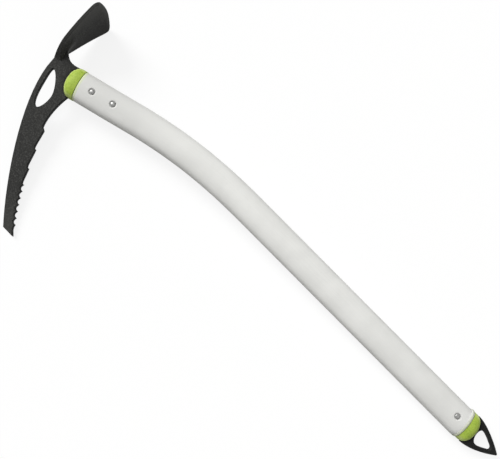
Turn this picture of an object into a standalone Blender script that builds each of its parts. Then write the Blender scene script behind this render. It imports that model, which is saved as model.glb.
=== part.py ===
"""Ice axe: a forged head and a pointed foot spike, riveted into the ends of a bent oval tube.

The shaft frame has its origin at the foot end of the tube, X along the lower straight of the shaft towards
the spike, Y towards the adze and Z square to the plane of the pick. An end of the tube has a frame of its
own, in which a point is given by its reach out of the tube and its side, plus towards the adze. The
finished axe lies on the floor on its adze, its pick and the foot of the tube.
"""

import math

import bmesh
import bpy
from mathutils import Matrix, Vector

# Shaft tube, an oval of four arcs
TUBE_WIDTH = 0.0318
TUBE_DEPTH = 0.0200
TUBE_SIDE_RADIUS = 0.0085
TUBE_WALL = 0.0017
LOWER_STRAIGHT = 0.3038
UPPER_STRAIGHT = 0.070
BEND_RADIUS = 0.575
BEND_ANGLE = math.radians(14.2)
LIP_LENGTH = 0.0024
LIP_HEIGHT = 0.0006
FOOT_SLANT = 0.11
FOOT_SQUARE = 0.0070

# Gap between pieces that seat on each other
FIT_GAP = 0.0003

# Rivets, with low domed heads sunk in round recesses
RIVET_SHANK = 0.0050
RIVET_HEAD = 0.0068
RIVET_DOME = 0.0009
RIVET_DIMPLE = 0.0018
RECESS_DEPTH = 0.0007
HEAD_RIVET_REACH = 0.0160
HEAD_RIVET_PITCH = 0.0240
SPIKE_RIVET_REACH = 0.0143

# Collars: a straight band against the tube, then a dome over the plate
HEAD_BAND = 0.0048
HEAD_DOME = 0.0106
HEAD_COLLAR_INSET = -0.0004
SPIKE_BAND = 0.0048
SPIKE_DOME = 0.0102
SPIKE_COLLAR_INSET = 0.0008
DOME_END = math.radians(85.0)

# Plates and the tangs that run on into the tube
HEAD_PLATE = 0.0044
SPIKE_PLATE = 0.0044
PLATE_CHAMFER = 0.0005
SPIKE_CHAMFER = 0.0010
TANG_PAST_RIVET = 0.0120

# Pick
HEAD_TOP = 0.0389
PICK_REACH = 0.1609
PICK_DROP = 0.0452
PICK_START_ANGLE = math.radians(5.8)
PICK_END_ANGLE = math.radians(28.5)
PICK_BACK_FULLNESS = 0.0460
TIP_CUT = 0.0134
TIP_CUT_ANGLE = math.radians(75.0)
TIP_FRONT = 0.0120
TIP_FRONT_ANGLE = math.radians(20.0)
TIP_SCOOP = 0.0013
TIP_ROOT_AT = 0.62
TOOTH_LINE_START_ANGLE = math.radians(22.2)
TOOTH_LINE_END_ANGLE = math.radians(5.2)
SMALL_TEETH = 7
SMALL_PITCH = 0.0069
SMALL_DEPTH = 0.0024
SMALL_ROOT_AT = 0.42
BIG_TEETH = 3
BIG_START = 0.0169
BIG_PITCH = 0.0203
BIG_DEPTH = 0.0019
BIG_ROOT_AT = 0.12
THROAT_STEP = 0.0030
THROAT_RISE = 0.0118
THROAT_LIFT = 0.0047

# Notch between the collar and the adze's neck
NOTCH_FLAT = 0.0085
NOTCH_RISE = 0.0058
NOTCH_SAG = 0.0025
NECK_DEPTH = 0.0062
NECK_AT = 0.0148

# Carabiner eye in the head
EYE_LENGTH = 0.0415
EYE_WIDTH = 0.0142
EYE_STRAP = 0.0051
EYE_TOP_SIDE = 0.0015

# Adze, flared from the head plate
ADZE_SIDE = 0.0120
ADZE_TOP = 0.0370
ADZE_LENGTH = 0.0708
ADZE_NECK_LENGTH = 0.0200
ADZE_ROOT_DROOP = math.radians(1.0)
ADZE_NECK_DROOP = math.radians(16.0)
ADZE_TIP_DROOP = math.radians(25.3)
ADZE_ROOT_WIDTH = 0.0122
ADZE_END_WIDTH = 0.0614
ADZE_BELLY = 0.0008
ADZE_FLARE_POWER = 1.5
ADZE_CORNER_RADIUS = 0.0105
ADZE_BULGE = 0.0030
ADZE_CUP = 0.0015
ADZE_ROOT_THICKNESS = 0.0040
ADZE_TIP_THICKNESS = 0.0030
ADZE_BEVEL = 0.0040
ADZE_EDGE = 0.0008
ADZE_WEB = 0.0090
ADZE_FILLET = 0.0090

# Spike
SPIKE_LENGTH = 0.0458
SPIKE_SHOULDER = 0.0076
SPIKE_TIP = 0.0018
SPIKE_LEAN = 0.0006
SPIKE_OGIVE = ((0.265, 0.985), (0.65, 0.60))
SPIKE_EYE_START = 0.0165
SPIKE_EYE_LENGTH = 0.0199
SPIKE_EYE_WIDTH = 0.0151
SPIKE_EYE_SIDE = 0.0005
SPIKE_EYE_SKEW = 0.18

SHARP_ANGLE = math.radians(35.0)
OVAL_POINTS = 40
BEND_STEPS = 12
DOME_STEPS = 8
ROUND_STEPS = 24
CURVE_STEPS = 8
LONG_CURVE_STEPS = 16
TOOTH_STEPS = 6
LIP_STEPS = 6
ADZE_NECK_STEPS = 7
ADZE_BLADE_STEPS = 4
ADZE_WING_STEPS = 8
SETTLE_PASSES = 6

PARTS = "ice_axe"
CUTTERS = "cutters"


def clear_scene():
    for obj in list(bpy.data.objects):
        bpy.data.objects.remove(obj, do_unlink=True)


def collection(name):
    made = bpy.data.collections.new(name)
    bpy.context.scene.collection.children.link(made)
    return made


def finish(name, colour, roughness, metallic):
    made = bpy.data.materials.new(name)
    made.use_nodes = True
    shader = made.node_tree.nodes["Principled BSDF"]
    shader.inputs["Base Color"].default_value = (*colour, 1.0)
    shader.inputs["Roughness"].default_value = roughness
    shader.inputs["Metallic"].default_value = metallic
    return made


def add_object(name, bm, group):
    """An object of this mesh in a collection, shaded smooth except at its sharp edges."""
    bmesh.ops.recalc_face_normals(bm, faces=bm.faces)
    mesh = bpy.data.meshes.new(name)
    bm.to_mesh(mesh)
    bm.free()
    mesh.shade_smooth()
    mesh.set_sharp_from_angle(angle=SHARP_ANGLE)
    obj = bpy.data.objects.new(name, mesh)
    bpy.data.collections[group].objects.link(obj)
    if group == CUTTERS:
        obj.hide_render = True
        obj.display_type = "WIRE"
    return obj


def place(obj, frame, spot=(0.0, 0.0, 0.0)):
    obj.parent = frame
    obj.location = spot


def combine(obj, other, operation):
    modifier = obj.modifiers.new(other.name, "BOOLEAN")
    modifier.operation = operation
    modifier.solver = "EXACT"
    modifier.object = other


# Outlines, as lists of (x, y)


def bezier(start, first, second, end, count=CURVE_STEPS):
    """Points of a cubic curve from start on, without its end."""
    points = []
    for i in range(count):
        t = i / count
        k = 1 - t
        points.append(tuple(
            k**3 * a + 3 * k * k * t * b + 3 * k * t * t * c + t**3 * d
            for a, b, c, d in zip(start, first, second, end)
        ))
    return points


def circle(centre, radius, count=ROUND_STEPS):
    turns = (2 * math.pi * i / count for i in range(count))
    return [(centre[0] + radius * math.cos(a), centre[1] + radius * math.sin(a)) for a in turns]


def gullet(tip, next_tip, depth, root_at, inward):
    """From one tooth's tip to just before the next: a scoop that is deepest at root_at of the way."""
    power = math.log(0.5) / math.log(root_at)
    points = []
    for i in range(TOOTH_STEPS):
        share = i / TOOTH_STEPS
        along = share ** (1 / power)
        scoop = depth * math.sin(math.pi * share)
        points.append(tuple(a + along * (b - a) + scoop * n for a, b, n in zip(tip, next_tip, inward)))
    return points


def oval(inset, count=OVAL_POINTS):
    """The tube's outer oval, drawn in by inset: (side, depth) points round its four arcs."""
    width, depth = TUBE_WIDTH / 2, TUBE_DEPTH / 2
    side = TUBE_SIDE_RADIUS
    face = face_radius()
    lean = math.atan2(width - side, face - depth)
    points = []
    per_arc = count // 4
    for quarter in range(4):
        for i in range(per_arc):
            share = i / per_arc
            if quarter % 2 == 0:
                angle = (share - 0.5) * (math.pi - 2 * lean)
                y = width - side + (side - inset) * math.cos(angle)
                z = (side - inset) * math.sin(angle)
            else:
                angle = math.pi / 2 - lean + share * 2 * lean
                y = (face - inset) * math.cos(angle)
                z = depth - face + (face - inset) * math.sin(angle)
            points.append((y, z) if quarter < 2 else (-y, -z))
    return points


def face_radius():
    """Radius of the oval's two broad arcs, tangent to its side arcs."""
    width, depth, side = TUBE_WIDTH / 2, TUBE_DEPTH / 2, TUBE_SIDE_RADIUS
    return ((width - side) ** 2 + depth**2 - side**2) / (2 * (depth - side))


def bore_half_width(z):
    """Half the width of the tube's bore at a height from its middle."""
    return TUBE_WIDTH / 2 - TUBE_SIDE_RADIUS + math.sqrt((TUBE_SIDE_RADIUS - TUBE_WALL) ** 2 - z * z)


# Meshes


def plate(outlines, thickness, chamfer):
    """A flat plate with chamfered edges: the first outline is its edge and the rest are holes."""
    curve = bpy.data.curves.new("outline", "CURVE")
    curve.dimensions = "2D"
    curve.fill_mode = "BOTH"
    curve.extrude = thickness / 2 - chamfer
    curve.bevel_depth = chamfer
    curve.bevel_resolution = 0
    curve.offset = -chamfer
    for outline in outlines:
        spline = curve.splines.new("POLY")
        spline.points.add(len(outline) - 1)
        for point, (x, y) in zip(spline.points, outline):
            point.co = (x, y, 0.0, 1.0)
        spline.use_cyclic_u = True
    guide = bpy.data.objects.new("outline", curve)
    bpy.context.scene.collection.objects.link(guide)
    graph = bpy.context.evaluated_depsgraph_get()
    mesh = bpy.data.meshes.new_from_object(guide.evaluated_get(graph))
    bm = bmesh.new()
    bm.from_mesh(mesh)
    bmesh.ops.remove_doubles(bm, verts=bm.verts, dist=1e-6)
    bpy.data.objects.remove(guide, do_unlink=True)
    return bm


def loft(rings):
    """A closed body through rings of as many points each, capped at both ends."""
    bm = bmesh.new()
    loops = [[bm.verts.new(point) for point in ring] for ring in rings]
    for lower, upper in zip(loops, loops[1:]):
        join_rings(bm, lower, upper)
    bm.faces.new(loops[0][::-1])
    bm.faces.new(loops[-1])
    return bm


def hoop(rings):
    """A ring-shaped body through rings of as many points each, the last joined to the first."""
    bm = bmesh.new()
    loops = [[bm.verts.new(point) for point in ring] for ring in rings]
    for lower, upper in zip(loops, loops[1:] + loops[:1]):
        join_rings(bm, lower, upper)
    return bm


def join_rings(bm, lower, upper):
    """A row of faces between two rings of vertices."""
    for i in range(len(lower)):
        j = (i + 1) % len(lower)
        bm.faces.new((lower[i], lower[j], upper[j], upper[i]))


def turned(name, profile, group):
    """A body turned round Z from (radius, height) points that run down its outer side."""
    bm = bmesh.new()
    verts = [bm.verts.new((radius, 0.0, height)) for radius, height in profile]
    for upper, lower in zip(verts, verts[1:]):
        bm.edges.new((upper, lower))
    obj = add_object(name, bm, group)
    screw = obj.modifiers.new("turn", "SCREW")
    screw.steps = screw.render_steps = ROUND_STEPS
    screw.use_merge_vertices = True
    screw.merge_threshold = 1e-6
    screw.use_smooth_shade = True
    return obj


# Pieces


def tang_half_width(thickness):
    return bore_half_width(thickness / 2) - FIT_GAP


def rivet_seat():
    """Height of the recess floor over the middle of the tube."""
    return TUBE_DEPTH / 2 - RECESS_DEPTH


def shaft_tube():
    line = tube_line()
    outer = [slanted((x, y, z) for y, z in oval(inset)) for x, inset in lip_sections()]
    outer += [tube_ring(middle, angle, 0.0) for middle, angle in line]
    inner = [slanted((0.0, y, z) for y, z in oval(TUBE_WALL))]
    inner += [tube_ring(middle, angle, TUBE_WALL) for middle, angle in line]
    return add_object("shaft_tube", hoop(outer + inner[::-1]), PARTS)


def tube_line():
    """The middle and the turn of each ring of the tube, from the square ring near its foot on."""
    lower = [FOOT_SQUARE] + rivet_rings([SPIKE_RIVET_REACH]) + [LOWER_STRAIGHT]
    line = [(Vector((-reach, 0.0, 0.0)), 0.0) for reach in lower]
    hub = Vector((-LOWER_STRAIGHT, -BEND_RADIUS, 0.0))
    turns = [BEND_ANGLE * i / BEND_STEPS for i in range(1, BEND_STEPS + 1)]
    line += [(hub + BEND_RADIUS * across(turn), turn) for turn in turns]
    bent = line[-1][0]
    reaches = [0.0] + rivet_rings([HEAD_RIVET_REACH, HEAD_RIVET_REACH + HEAD_RIVET_PITCH])
    upper = [UPPER_STRAIGHT - reach for reach in reversed(reaches)]
    return line + [(bent + run * head_outward(), BEND_ANGLE) for run in upper]


def across(turn):
    """The way across the tube, towards the adze, where it has turned this far."""
    return Vector((-math.sin(turn), math.cos(turn), 0.0))


def tube_ring(middle, turn, inset):
    return [middle + y * across(turn) + Vector((0.0, 0.0, z)) for y, z in oval(inset)]


def slanted(points, slant=FOOT_SLANT):
    """The points, drawn back towards the adze's side as the foot of the tube is."""
    return [(x - slant * y, y, *rest) for x, y, *rest in points]


def lip_sections():
    """(x, inset) from the end of the tube over its rolled lip."""
    angles = [math.pi * i / LIP_STEPS for i in range(LIP_STEPS + 1)]
    return [(-LIP_LENGTH / 2 * (1 - math.cos(a)), -LIP_HEIGHT * math.sin(a)) for a in angles]


def rivet_rings(reaches):
    """Distances from an end of the tube to rings of edges just before and after each rivet."""
    return [reach + side * RIVET_HEAD for reach in reaches for side in (-1, 1)]


def rivet(name):
    seat = rivet_seat() + FIT_GAP
    head, dimple = RIVET_HEAD / 2, RIVET_DIMPLE / 2
    steep = math.acos(dimple / head)
    dome = []
    for i in range(DOME_STEPS + 1):
        angle = steep * (1 - i / DOME_STEPS)
        dome.append((head * math.cos(angle), seat + RIVET_DOME * math.sin(angle)))
    upper = [(0.0, dome[0][1] - dimple / 2), *dome, (RIVET_SHANK / 2, seat)]
    lower = [(radius, -height) for radius, height in reversed(upper)]
    return turned(name, upper + lower, PARTS)


def rivet_cutter(name):
    """Takes the hole for a shank and the recess for each head."""
    seat, far = rivet_seat(), TUBE_DEPTH
    hole, recess = RIVET_SHANK / 2 + FIT_GAP, RIVET_HEAD / 2 + FIT_GAP
    upper = [(0.0, far), (recess, far), (recess, seat), (hole, seat)]
    lower = [(radius, -height) for radius, height in reversed(upper)]
    return turned(name, upper + lower, CUTTERS)


def collar(name, band, dome, shoulder, inset, slant, prong, thickness):
    """A band and a dome split over the plate, with two prongs that fill the tube either side of the tang."""
    stem = oval(TUBE_WALL + FIT_GAP)
    outer = oval(inset)
    rings = [[(FIT_GAP, y, z) for y, z in stem]]
    rings += [[(x, y, z) for y, z in outer] for x in (FIT_GAP, band)]
    for i in range(1, DOME_STEPS + 1):
        angle = DOME_END * i / DOME_STEPS
        size = math.cos(angle)
        rings.append([(band + dome * math.sin(angle), size * y, size * z) for y, z in outer])
    rings = [[(-prong, y, z) for y, z in stem]] + [slanted(ring, slant) for ring in rings]
    obj = add_object(name, loft(rings), PARTS)
    slot_half = tang_half_width(thickness) + FIT_GAP
    wide, deep, tall = TUBE_WIDTH, 2 * prong, band + 2 * dome
    foot = FIT_GAP / 2
    side = [(foot, wide), (foot, slot_half), (shoulder, slot_half), (shoulder, wide), (tall, wide)]
    outline = [(-deep, wide)] + slanted(side + [(x, -y) for x, y in reversed(side)], slant) + [(-deep, -wide)]
    slot = add_object(name + "_slot", plate([outline], thickness + 2 * FIT_GAP, 0.0), CUTTERS)
    combine(obj, slot, "DIFFERENCE")
    return obj, slot


def adze_top(s):
    """(reach, side) of the adze's upper face, s along it from its root, and its droop there."""
    reach, side = ADZE_TOP, ADZE_SIDE
    neck = min(s, ADZE_NECK_LENGTH)
    droop = ADZE_ROOT_DROOP
    blade = ADZE_LENGTH - ADZE_NECK_LENGTH
    for run, length, end in (
        (neck, ADZE_NECK_LENGTH, ADZE_NECK_DROOP), (s - neck, blade, ADZE_TIP_DROOP),
    ):
        before, droop = droop, droop + (end - droop) * run / length
        reach -= run * math.sin((before + droop) / 2)
        side += run * math.cos((before + droop) / 2)
    return reach, side, droop


def adze_half_width(s):
    share = s / ADZE_LENGTH
    flare = (ADZE_ROOT_WIDTH + (ADZE_END_WIDTH - ADZE_ROOT_WIDTH) * share) / 2
    flare += 4 * ADZE_BELLY * share * (1 - share)
    short = max(0.0, 1 - s / ADZE_NECK_LENGTH) ** ADZE_FLARE_POWER
    return flare - short * (ADZE_ROOT_WIDTH - HEAD_PLATE) / 2


def adze_stations():
    """(s, half width) from the neck to the cutting edge, with its corners rounded."""
    straight = ADZE_LENGTH - ADZE_CORNER_RADIUS
    blade = straight - ADZE_NECK_LENGTH
    runs = [ADZE_NECK_LENGTH * i / ADZE_NECK_STEPS for i in range(ADZE_NECK_STEPS)]
    runs += [ADZE_NECK_LENGTH + blade * i / ADZE_BLADE_STEPS for i in range(ADZE_BLADE_STEPS)]
    stations = [(s, adze_half_width(s)) for s in runs]
    for i in range(CURVE_STEPS + 1):
        angle = math.pi / 2 * i / CURVE_STEPS
        s = straight + ADZE_CORNER_RADIUS * math.sin(angle)
        stations.append((s, adze_half_width(s) - ADZE_CORNER_RADIUS * (1 - math.cos(angle))))
    return stations


def adze_ring(s, half, sink):
    """One closed section of the adze, across its width and back, in the head's frame."""
    share = s / ADZE_LENGTH
    body = ADZE_ROOT_THICKNESS + (ADZE_TIP_THICKNESS - ADZE_ROOT_THICKNESS) * share
    ground = min(1.0, (ADZE_LENGTH - s) / ADZE_BEVEL)
    body = ADZE_EDGE + (body - ADZE_EDGE) * ground
    web = max(0.0, 1 - s / (ADZE_NECK_LENGTH + ADZE_FILLET)) * (ADZE_WEB - body)
    ridge = min(HEAD_PLATE / 2 - FIT_GAP, half / 2)
    wing = [ridge + (half - ridge) * i / ADZE_WING_STEPS for i in range(ADZE_WING_STEPS + 1)]
    top, under = [], []
    for z in [-z for z in reversed(wing)] + wing:
        bow = (z / half) ** 2
        reach, side, droop = adze_top(s - ADZE_BULGE * share**2 * bow)
        sag = sink + ADZE_CUP * share * bow
        past = min(1.0, (abs(z) - ridge) / ADZE_FILLET)
        depth = sag + body + web * (1 - past) ** 2
        down = (-math.cos(droop), -math.sin(droop))
        top.append((reach + sag * down[0], side + sag * down[1], z))
        under.append((reach + depth * down[0], side + depth * down[1], z))
    return top + under[::-1]


def adze_rings():
    return [adze_ring(s, half + FIT_GAP, 0.0) for s, half in adze_stations()]


def adze_blade():
    """The adze as a loft that starts inside the head plate and grows out of its faces."""
    buried = adze_ring(-HEAD_PLATE, HEAD_PLATE / 2 - PLATE_CHAMFER, HEAD_PLATE / 3)
    return add_object("adze_blade", loft([buried] + adze_rings()), CUTTERS)


def tooth_line():
    """The tips of the pick's teeth, from its point to its throat, and the run's direction at each."""
    lean = Vector((math.sin(TIP_FRONT_ANGLE), math.cos(TIP_FRONT_ANGLE)))
    start = Vector(pick_tip()) + TIP_FRONT * lean
    runs = [SMALL_PITCH * i for i in range(SMALL_TEETH)]
    runs += [runs[-1] + BIG_START + BIG_PITCH * i for i in range(BIG_TEETH)]
    tips = []
    for run in runs:
        angle = TOOTH_LINE_START_ANGLE + (TOOTH_LINE_END_ANGLE - TOOTH_LINE_START_ANGLE) * run / runs[-1]
        mean = (TOOTH_LINE_START_ANGLE + angle) / 2
        tips.append((start + run * Vector((math.sin(mean), math.cos(mean))), angle))
    return tips


def pick_corner():
    """Where the pick's back meets the slanted cut of its point."""
    return HEAD_TOP - PICK_DROP, -PICK_REACH


def pick_tip():
    reach, side = pick_corner()
    return reach - TIP_CUT * math.sin(TIP_CUT_ANGLE), side - TIP_CUT * math.cos(TIP_CUT_ANGLE)


def pick_outline():
    """The pick from the head's top, down its back, round its point and up its teeth to the throat."""
    corner = pick_corner()
    full = PICK_BACK_FULLNESS
    points = bezier(
        (HEAD_TOP, 0.0),
        (HEAD_TOP + full * math.sin(PICK_START_ANGLE), -full * math.cos(PICK_START_ANGLE)),
        (corner[0] + full * math.sin(PICK_END_ANGLE), corner[1] + full * math.cos(PICK_END_ANGLE)),
        corner, LONG_CURVE_STEPS,
    )
    points.append(corner)
    tips = tooth_line()
    inward = (math.cos(tips[0][1]), -math.sin(tips[0][1]))
    points += gullet(pick_tip(), tips[0][0], TIP_SCOOP, TIP_ROOT_AT, inward)
    for i, (tip, angle) in enumerate(tips[:-1]):
        inward = (math.cos(angle), -math.sin(angle))
        if i < SMALL_TEETH - 1:
            points += gullet(tip, tips[i + 1][0], SMALL_DEPTH, SMALL_ROOT_AT, inward)
        else:
            points += gullet(tip, tips[i + 1][0], BIG_DEPTH, BIG_ROOT_AT, inward)
    last, angle = tips[-1]
    root = (last[0] + THROAT_STEP * math.cos(angle), last[1] + THROAT_STEP)
    shoulder = (HEAD_BAND + FIT_GAP, -TUBE_WIDTH / 2)
    points.append(tuple(last))
    points += bezier(
        root, (root[0] + THROAT_STEP / 2, root[1] + THROAT_RISE),
        (shoulder[0] + THROAT_LIFT, shoulder[1] - THROAT_RISE), shoulder,
    )
    return points + [shoulder]


def head_outline():
    """The whole head plate: the pick, the tang, the heel and the neck that the adze grows from."""
    tang = tang_half_width(HEAD_PLATE)
    end = -(HEAD_RIVET_REACH + HEAD_RIVET_PITCH + TANG_PAST_RIVET)
    shoulder = HEAD_BAND + FIT_GAP
    points = pick_outline()
    points += [(shoulder, -tang), (end, -tang), (end, tang), (shoulder, tang)]
    neck_end = adze_under(NECK_AT, NECK_DEPTH)
    heel = (shoulder, TUBE_WIDTH / 2)
    points += bezier(
        heel, (heel[0] + NOTCH_FLAT, heel[1] - NOTCH_SAG / 2),
        (neck_end[0] - NOTCH_RISE, TUBE_WIDTH / 2 - NOTCH_SAG), neck_end,
    )
    points.append(neck_end)
    buried = [adze_under(ADZE_NECK_LENGTH * share, ADZE_ROOT_THICKNESS / 2) for share in (1.0, 0.5)]
    root = adze_top(0.0)
    return points + buried + [(root[0], root[1])]


def adze_under(s, depth):
    reach, side, droop = adze_top(s)
    return reach - depth * math.cos(droop), side - depth * math.sin(droop)


def head_eye():
    """The carabiner eye, a leaf that follows the head's top: four curves from its crown and their handles."""
    leaf = (
        ((0.13, 0.00), (0.00, 0.00), (0.00, 0.18)),
        ((0.00, 0.37), (0.00, 0.66), (0.05, 1.00)),
        ((0.47, 1.00), (0.67, 1.00), (1.00, 0.78)),
        ((1.00, 0.58), (1.00, 0.40), (0.43, 0.00)),
    )
    curves = [
        [(HEAD_TOP - EYE_STRAP - EYE_WIDTH * w, EYE_TOP_SIDE - EYE_LENGTH * l) for w, l in curve]
        for curve in leaf
    ]
    points = []
    for curve, following in zip(curves, curves[1:] + curves[:1]):
        points += bezier(*curve, following[0])
    return points


def head():
    holes = [
        circle((-HEAD_RIVET_REACH - HEAD_RIVET_PITCH * i, 0.0), RIVET_SHANK / 2 + FIT_GAP) for i in range(2)
    ]
    obj = add_object("head", plate([head_outline(), head_eye(), *holes], HEAD_PLATE, PLATE_CHAMFER), PARTS)
    blade = adze_blade()
    combine(obj, blade, "UNION")
    return obj, blade


def spike():
    tang = tang_half_width(SPIKE_PLATE)
    end = -(SPIKE_RIVET_REACH + TANG_PAST_RIVET)
    shoulder = SPIKE_SHOULDER + FIT_GAP
    wide = TUBE_WIDTH / 2
    run = SPIKE_LENGTH - shoulder
    nose = (SPIKE_LENGTH - SPIKE_TIP / 4, SPIKE_TIP / 2)
    handles = [(shoulder + along * run, share * wide) for along, share in SPIKE_OGIVE]
    side = [(shoulder, tang)] + bezier((shoulder, wide), *handles, nose) + [nose]
    blade = slanted(side + [(SPIKE_LENGTH, 0.0)] + [(x, -y) for x, y in reversed(side)])
    blade = [(x, y + SPIKE_LEAN * (x / SPIKE_LENGTH) ** 2) for x, y in blade]
    outline = [(end, tang)] + blade + [(end, -tang)]
    hole = circle((-SPIKE_RIVET_REACH, 0.0), RIVET_SHANK / 2 + FIT_GAP)
    return add_object("spike", plate([outline, spike_eye(), hole], SPIKE_PLATE, SPIKE_CHAMFER), PARTS)


def spike_eye():
    """A rounded triangle that points along the spike: three curves, then their mirror image, set askew."""
    wedge = (
        ((0.00, 0.00), (0.00, 0.55), (0.08, 1.00)),
        ((0.23, 1.00), (0.43, 1.00), (0.71, 0.59)),
        ((0.92, 0.31), (0.98, 0.22), (1.00, 0.12)),
    )
    half = SPIKE_EYE_WIDTH / 2
    curves = [[(SPIKE_EYE_START + SPIKE_EYE_LENGTH * l, half * w) for l, w in curve] for curve in wedge]
    nose = (SPIKE_EYE_START + SPIKE_EYE_LENGTH, 0.0)
    side = []
    for curve, end in zip(curves, [curves[1][0], curves[2][0], nose]):
        side += bezier(*curve, end)
    loop = slanted(side + [nose] + [(x, -y) for x, y in reversed(side[1:])], SPIKE_EYE_SKEW)
    return [(x, y + SPIKE_EYE_SIDE) for x, y in loop]


# Assembly


def head_outward():
    return Vector((-math.cos(BEND_ANGLE), -math.sin(BEND_ANGLE), 0.0))


def head_matrix():
    """The head's frame on the shaft: X out of the tube, Y towards the adze."""
    bend = Vector((-math.sin(BEND_ANGLE), math.cos(BEND_ANGLE) - 1.0, 0.0)) * BEND_RADIUS
    origin = Vector((-LOWER_STRAIGHT, 0.0, 0.0)) + bend + UPPER_STRAIGHT * head_outward()
    outward = head_outward()
    side = Vector((-math.sin(BEND_ANGLE), math.cos(BEND_ANGLE), 0.0))
    turn = Matrix((outward, side, outward.cross(side))).transposed()
    return Matrix.Translation(origin) @ turn.to_4x4()


def add_frame(name, matrix, parent):
    frame = bpy.data.objects.new(name, None)
    bpy.data.collections[PARTS].objects.link(frame)
    frame.parent = parent
    frame.matrix_basis = matrix
    return frame


def rest_turn():
    """Turns the axe so that its adze, its pick and the foot of its tube all touch a level floor."""
    to_shaft = head_matrix()
    adze = [to_shaft @ Vector(point) for ring in adze_rings() for point in ring]
    pick = to_shaft @ Vector((*pick_tip(), HEAD_PLATE / 2))
    lip = [Vector(point) for point in slanted((-LIP_LENGTH / 2, y, z) for y, z in oval(-LIP_HEIGHT))]
    up = Vector((0.0, 0.0, 1.0))
    for _ in range(SETTLE_PASSES):
        lowest = min(adze, key=up.dot)
        up = (min(lip, key=up.dot) - lowest).cross(pick - lowest).normalized()
        up *= math.copysign(1.0, up.z)
    return up.rotation_difference(Vector((0.0, 0.0, 1.0))).to_matrix().to_4x4()


def stand_on_floor(root, parts):
    """Moves the axe so that its footprint is centred on the origin and its lowest point is at zero."""
    bpy.context.view_layer.update()
    graph = bpy.context.evaluated_depsgraph_get()
    corners = []
    for obj in parts:
        solid = obj.evaluated_get(graph)
        mesh = solid.to_mesh()
        corners += [solid.matrix_world @ vertex.co for vertex in mesh.vertices]
        solid.to_mesh_clear()
    low = Vector(map(min, zip(*corners)))
    high = Vector(map(max, zip(*corners)))
    root.location -= Vector(((low.x + high.x) / 2, (low.y + high.y) / 2, low.z))


def main():
    clear_scene()
    collection(PARTS)
    collection(CUTTERS)
    steel = finish("black_steel", (0.045, 0.045, 0.042), 0.55, 0.6)
    plastic = finish("green_plastic", (0.35, 0.50, 0.05), 0.4, 0.0)
    aluminium = finish("satin_aluminium", (0.72, 0.72, 0.70), 0.35, 0.9)
    bright_steel = finish("bright_steel", (0.62, 0.62, 0.60), 0.3, 1.0)

    axe = add_frame("axe_frame", rest_turn(), None)
    head_end = add_frame("head_frame", head_matrix(), axe)
    foot_end = add_frame("spike_frame", Matrix.Identity(4), axe)

    tube = shaft_tube()
    place(tube, axe)
    tube.data.materials.append(aluminium)
    parts = [tube]

    head_prong = HEAD_RIVET_REACH + HEAD_RIVET_PITCH + TANG_PAST_RIVET
    spike_prong = SPIKE_RIVET_REACH + TANG_PAST_RIVET
    head_piece, blade = head()
    head_sleeve, head_slot = collar(
        "head_collar", HEAD_BAND, HEAD_DOME, HEAD_BAND, HEAD_COLLAR_INSET, 0.0, head_prong, HEAD_PLATE
    )
    spike_piece = spike()
    spike_sleeve, spike_slot = collar(
        "spike_collar", SPIKE_BAND, SPIKE_DOME, SPIKE_SHOULDER, SPIKE_COLLAR_INSET, FOOT_SLANT,
        spike_prong, SPIKE_PLATE,
    )
    for obj, frame, skin in (
        (head_piece, head_end, steel), (blade, head_end, steel), (head_sleeve, head_end, plastic),
        (head_slot, head_end, plastic), (spike_piece, foot_end, steel), (spike_sleeve, foot_end, plastic),
        (spike_slot, foot_end, plastic),
    ):
        place(obj, frame)
        obj.data.materials.append(skin)
    parts += [head_piece, head_sleeve, spike_piece, spike_sleeve]

    for name, frame, sleeve, reach in (
        ("head_rivet_upper", head_end, head_sleeve, HEAD_RIVET_REACH),
        ("head_rivet_lower", head_end, head_sleeve, HEAD_RIVET_REACH + HEAD_RIVET_PITCH),
        ("spike_rivet", foot_end, spike_sleeve, SPIKE_RIVET_REACH),
    ):
        pin = rivet(name)
        pin.data.materials.append(bright_steel)
        cutter = rivet_cutter(name + "_hole")
        for obj in (pin, cutter):
            place(obj, frame, (-reach, 0.0, 0.0))
        combine(tube, cutter, "DIFFERENCE")
        combine(sleeve, cutter, "DIFFERENCE")
        parts.append(pin)

    stand_on_floor(axe, parts)


main()
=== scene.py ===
"""Looks for the ice axe: four finishes, finer pieces for shaft, collars and rivets, and a white studio.

The axe lies on the floor. Its shaft frame has its origin at the foot end of the tube, X along the lower
straight of the shaft towards the spike, Y towards the adze and Z square to the pick. The head's frame has
its origin at the other end of the tube, X out of the tube and Y towards the adze. All sizes are in metres.
"""

from __future__ import annotations

import sys  # noqa: E702
import logging
import math
from abc import ABC, abstractmethod
from dataclasses import dataclass
from enum import Enum
from typing import Any, Sequence

import bmesh
import bpy
from mathutils import Matrix, Vector


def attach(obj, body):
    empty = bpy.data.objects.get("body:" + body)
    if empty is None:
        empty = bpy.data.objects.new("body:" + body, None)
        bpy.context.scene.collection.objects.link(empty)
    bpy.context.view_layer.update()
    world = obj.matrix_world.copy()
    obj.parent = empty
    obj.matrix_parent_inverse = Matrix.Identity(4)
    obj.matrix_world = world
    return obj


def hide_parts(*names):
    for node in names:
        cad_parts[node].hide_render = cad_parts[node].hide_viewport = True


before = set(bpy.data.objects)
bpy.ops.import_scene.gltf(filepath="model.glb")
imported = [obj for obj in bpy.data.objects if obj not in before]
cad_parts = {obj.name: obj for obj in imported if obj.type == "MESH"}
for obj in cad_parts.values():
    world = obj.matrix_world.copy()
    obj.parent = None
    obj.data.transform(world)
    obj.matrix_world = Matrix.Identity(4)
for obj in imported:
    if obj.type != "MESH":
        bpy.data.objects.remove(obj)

log = logging.getLogger("ice_axe")

BODY = "root"
FIT_GAP = 0.0003
PLATE = 0.0044
SHARP_ANGLE = math.radians(32.0)
TINY = 1e-6
NO_SEAT = 99
EDGE_SAMPLES = 6

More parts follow.
